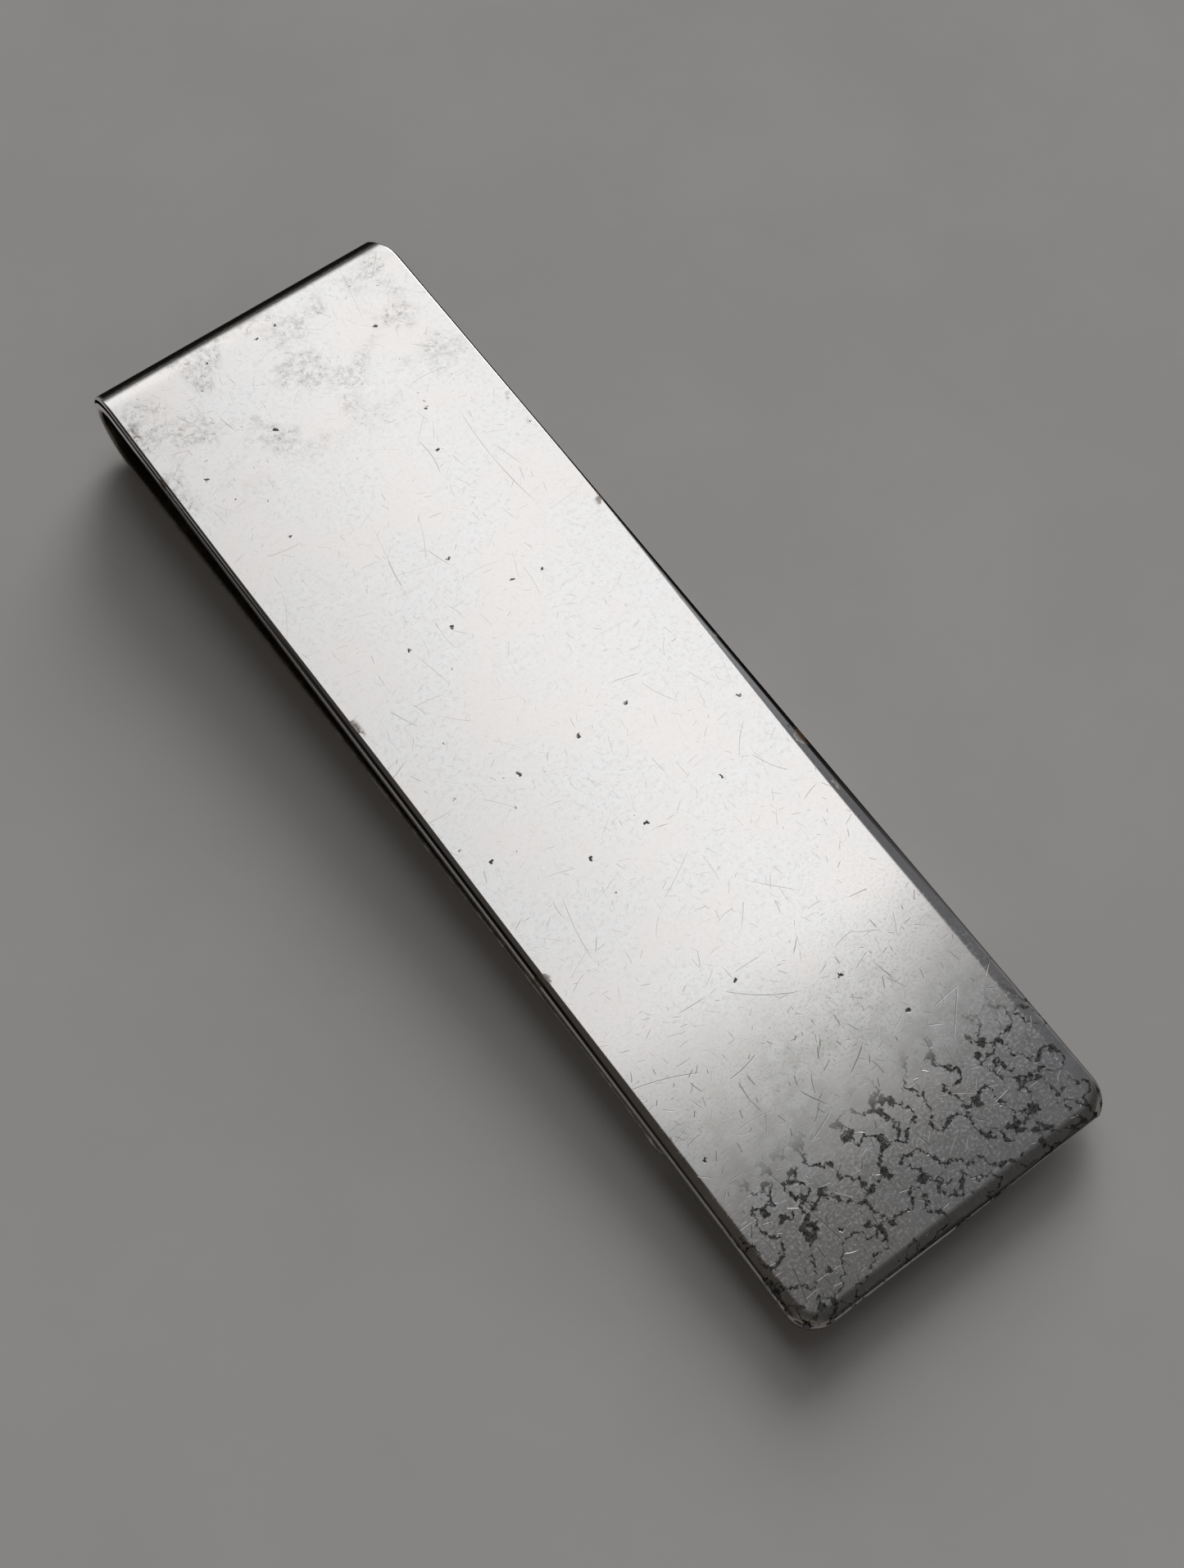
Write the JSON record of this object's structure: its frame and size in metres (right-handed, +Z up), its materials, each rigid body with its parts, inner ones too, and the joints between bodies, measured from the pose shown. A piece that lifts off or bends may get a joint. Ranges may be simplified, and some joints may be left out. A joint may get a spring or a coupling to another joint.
{
  "type": "money clip",
  "caption": "Folded sheet-silver money clip: a flat front leaf bent back over a round fold into a sprung tongue with a flared lip, which grips folded notes.",
  "frame": {"origin": "centre of the bottom face of the bounding box, as the clip rests on a table on its fold and on the edge of its lip", "axes": "+Z up out of the front leaf's face, +Y along the strip towards the fold, -Y towards the free end, X across the strip"},
  "size_m": [0.019, 0.064, 0.0058],
  "materials": {
    "worn_silver": "polished silver, scratched and pitted from use, dark tarnish in the pits and along the edges",
    "tarnished_silver": "silver with a thin brown tarnish, brighter along its edges"
  },
  "bodies": {
    "tongue": {"tongue_blade": "tarnished_silver", "tongue_lip": "tarnished_silver"},
    "clip_front": {"front_leaf": "worn_silver", "fold_spring": "worn_silver"}
  },
  "joints": [
    {"name": "clip_opening", "type": "hinge", "parent": "tongue", "child": "clip_front", "pos_m": [0, 0.02912, 0.0029], "axis": [-1, 0, 0], "range_deg": [0, 8], "stiffness_Nm_per_rad": 3.2, "springref_deg": -1.15, "deforming": ["fold_spring"]}
  ]
}
